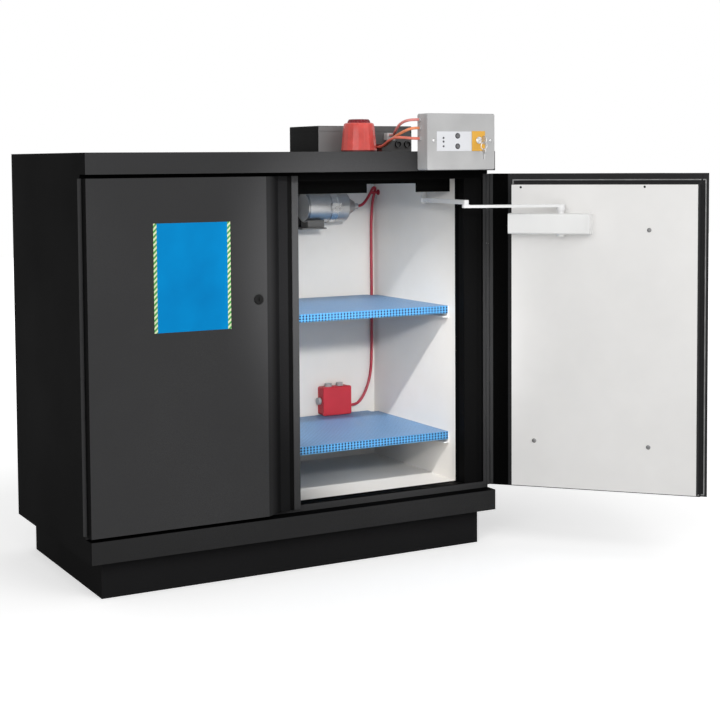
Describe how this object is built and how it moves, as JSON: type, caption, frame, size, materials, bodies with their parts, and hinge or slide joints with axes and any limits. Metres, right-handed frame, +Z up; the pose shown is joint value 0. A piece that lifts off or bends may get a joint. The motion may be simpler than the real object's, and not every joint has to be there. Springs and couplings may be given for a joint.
{
  "type": "battery cabinet",
  "caption": "Low free-standing insulated battery cabinet with two hinged doors and closers, inner shelves, a fixed fire-suppression unit, alarm control box and beacon.",
  "frame": {"origin": "on the floor, in the middle of the closed cabinet's footprint", "axes": "+X to the right as seen from the front, +Y to the back, +Z up; the front face looks along -Y"},
  "size_m": [1.4986, 0.977, 1.12],
  "materials": {
    "painted_dark": "matte",
    "plinth_dark": "matte",
    "board_white": "satin",
    "seal_black": "matte",
    "plate_black": "matte",
    "shelf_blue": "satin",
    "rest_white": "satin",
    "canister_steel": "satin",
    "strap_steel": "satin",
    "fire_cable_red": "satin",
    "gland_grey": "matte",
    "junction_red": "satin",
    "closer_white": "satin",
    "arm_steel": "satin",
    "lock_black": "satin",
    "control_grey": "satin",
    "button_grey": "satin",
    "key_metal": "satin",
    "relay_black": "satin",
    "connector_white": "satin",
    "beacon_dark": "satin",
    "beacon_red": "gloss",
    "signal_cable_pink": "satin",
    "signal_cable_orange": "satin",
    "signal_cable_red": "satin"
  },
  "bodies": {
    "cabinet": {"wall_left": "painted_dark", "wall_right": "painted_dark", "wall_back": "painted_dark", "wall_top": "painted_dark", "wall_bottom": "painted_dark", "band_top": "painted_dark", "band_bottom": "painted_dark", "hinge_left_fixed": "painted_dark", "hinge_right_fixed": "painted_dark", "plinth": "plinth_dark", "liner_left": "board_white", "liner_right": "board_white", "liner_back": "board_white", "liner_floor": "board_white", "liner_ceiling": "board_white", "opening_seal": "seal_black", "drop_plate": "plate_black", "shelf_upper": "shelf_blue", "shelf_lower": "shelf_blue", "cable_hook": "rest_white", "shelf_rest_upper_left": "rest_white", "shelf_rest_upper_right": "rest_white", "shelf_rest_lower_left": "rest_white", "shelf_rest_lower_right": "rest_white", "generator_canister": "canister_steel", "generator_nozzle": "canister_steel", "generator_clamp": "strap_steel", "generator_bracket": "strap_steel", "fire_cable": "fire_cable_red", "junction_gland_1": "gland_grey", "junction_gland_2": "gland_grey", "junction_gland_3": "gland_grey", "junction_box": "junction_red", "control_box": "control_grey", "relay_box": "relay_black", "connector": "connector_white", "beacon_base": "beacon_dark", "beacon_lens": "beacon_red", "signal_cable_1": "signal_cable_pink", "signal_cable_2": "signal_cable_orange", "signal_cable_3": "signal_cable_red"},
    "door_right": {"door_right": "painted_dark", "door_right_board": "board_white", "hinge_right_moving": "painted_dark", "closer_right": "closer_white"},
    "arm_right": {"closer_arm_right": "arm_steel"},
    "link_right": {"closer_link_right": "arm_steel"},
    "door_left": {"door_left": "painted_dark", "door_left_board": "board_white", "hinge_left_moving": "painted_dark", "astragal": "painted_dark", "closer_left": "closer_white"},
    "arm_left": {"closer_arm_left": "arm_steel"},
    "link_left": {"closer_link_left": "arm_steel"},
    "lock": {"door_lock": "lock_black"},
    "button_1": {"button_1": "button_grey"},
    "button_2": {"button_2": "button_grey"},
    "key_switch": {"key_switch": "key_metal"},
    "key_ring": {"key_ring": "key_metal"}
  },
  "joints": [
    {"name": "door_right_hinge", "type": "hinge", "parent": "cabinet", "child": "door_right", "pos_m": [0.55, -0.256, 0.56], "axis": [0, 0, 1], "range_deg": [-133, 0]},
    {"name": "arm_right_pinion", "type": "hinge", "parent": "door_right", "child": "arm_right", "pos_m": [0.63971, -0.45264, 0.887], "axis": [0, 0, 1], "range_deg": [0, 100]},
    {"name": "link_right_foot", "type": "hinge", "parent": "cabinet", "child": "link_right", "pos_m": [0.456, -0.0925, 0.897], "axis": [0, 0, 1], "range_deg": [-107.2, 0]},
    {"name": "door_left_hinge", "type": "hinge", "parent": "cabinet", "child": "door_left", "pos_m": [-0.55, -0.256, 0.56], "axis": [0, 0, 1], "range_deg": [-133, 0]},
    {"name": "arm_left_pinion", "type": "hinge", "parent": "door_left", "child": "arm_left", "pos_m": [-0.345, -0.1875, 0.887], "axis": [0, 0, 1], "range_deg": [0, 100]},
    {"name": "link_left_foot", "type": "hinge", "parent": "cabinet", "child": "link_left", "pos_m": [-0.456, -0.0925, 0.897], "axis": [0, 0, 1], "range_deg": [-107.2, 0]},
    {"name": "door_lock_turn", "type": "hinge", "parent": "door_left", "child": "lock", "pos_m": [-0.1263, -0.2925, 0.676], "axis": [0, 1, 0], "range_deg": [0, 90]},
    {"name": "button_1_press", "type": "slide", "parent": "cabinet", "child": "button_1", "axis": [0, 1, 0], "range_m": [0, 0.0015], "stiffness_N_per_m": 200},
    {"name": "button_2_press", "type": "slide", "parent": "cabinet", "child": "button_2", "axis": [0, 1, 0], "range_m": [0, 0.0015], "stiffness_N_per_m": 200},
    {"name": "key_switch_turn", "type": "hinge", "parent": "cabinet", "child": "key_switch", "pos_m": [0.467, -0.3405, 1.053], "axis": [0, 1, 0], "range_deg": [0, 90]},
    {"name": "key_ring_swing", "type": "hinge", "parent": "key_switch", "child": "key_ring", "pos_m": [0.467, -0.3655, 1.0475], "axis": [1, 0, 0], "range_deg": [-20, 20]}
  ],
  "couplings": [
    {"joint": "arm_right_pinion", "follows": "door_right_hinge", "ratio": -0.74936},
    {"joint": "link_right_foot", "follows": "door_right_hinge", "ratio": 0.80338},
    {"joint": "arm_left_pinion", "follows": "door_left_hinge", "ratio": -0.74936},
    {"joint": "link_left_foot", "follows": "door_left_hinge", "ratio": 0.80338}
  ]
}
